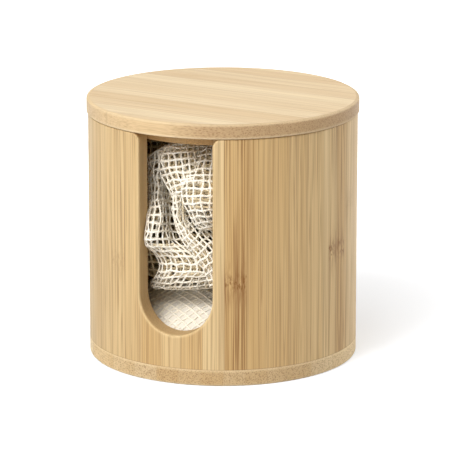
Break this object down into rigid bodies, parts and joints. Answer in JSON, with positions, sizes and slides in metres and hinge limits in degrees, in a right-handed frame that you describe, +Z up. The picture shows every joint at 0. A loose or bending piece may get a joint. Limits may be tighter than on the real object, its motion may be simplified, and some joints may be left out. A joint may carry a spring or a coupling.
{
  "type": "wipes dispenser",
  "caption": "Round laminated bamboo box with a lift-off lid and an open U-shaped front slot, holding a stack of washable cotton wipes and a folded cotton net laundry bag.",
  "frame": {"origin": "centre of the base disc's underside, on the surface that the box stands on", "axes": "+Z up along the box's axis; the slot faces -Y; +X to the right seen from the front"},
  "size_m": [0.1, 0.1, 0.0964],
  "materials": {
    "bamboo_wall": "satin",
    "bamboo_lid": "satin",
    "bamboo_base": "satin",
    "cotton_wipe": "matte",
    "cotton_net": "matte"
  },
  "bodies": {
    "box": {"base_disc": "bamboo_base", "body_wall": "bamboo_wall", "wipe_1": "cotton_wipe", "wipe_2": "cotton_wipe", "wipe_3": "cotton_wipe", "wipe_4": "cotton_wipe", "wipe_5": "cotton_wipe", "wipe_6": "cotton_wipe", "wipe_7": "cotton_wipe", "net_bag": "cotton_net"},
    "lid": {"lid_disc": "bamboo_lid", "lid_plug": "bamboo_lid"}
  },
  "joints": [
    {"name": "lid_lift", "type": "slide", "parent": "box", "child": "lid", "axis": [0, 0, 1], "range_m": [0, 0.06]}
  ]
}
